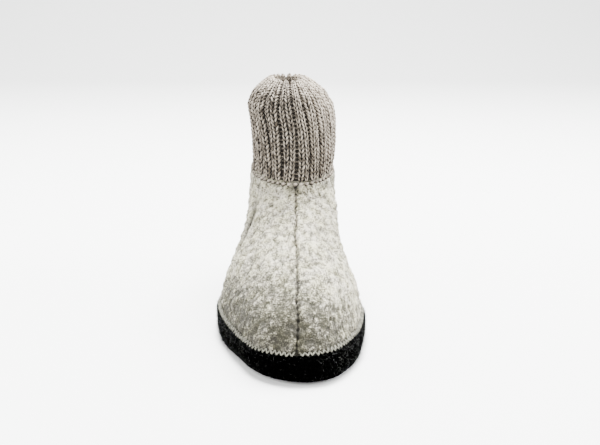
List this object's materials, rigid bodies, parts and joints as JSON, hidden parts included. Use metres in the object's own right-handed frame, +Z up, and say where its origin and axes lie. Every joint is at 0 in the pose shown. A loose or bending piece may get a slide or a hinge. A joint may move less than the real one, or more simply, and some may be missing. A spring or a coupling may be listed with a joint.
{
  "type": "slipper boot",
  "caption": "Right ankle-high felt slipper boot with a ribbed knit cuff, a felt band round its lower edge, an insole and a flat rubber sole.",
  "frame": {"origin": "on the floor, under the middle of the shoe's box", "axes": "+Z up, the toe to -Y, the inner side of the foot (right shoe) to +X"},
  "size_m": [0.1078, 0.2586, 0.174],
  "materials": {
    "rubber": "matt black rubber with a fine moulded grain",
    "insole_felt": "pressed grey wool felt",
    "boiled_wool": "pebbly light grey mottled boiled wool",
    "black_felt": "fuzzy black wool felt",
    "knit": "taupe grey rib knit of mottled wool yarn"
  },
  "bodies": {
    "root": {"outsole": "rubber", "insole": "insole_felt", "upper": "boiled_wool", "felt_band": "black_felt", "knit_cuff": "knit"}
  },
  "joints": []
}
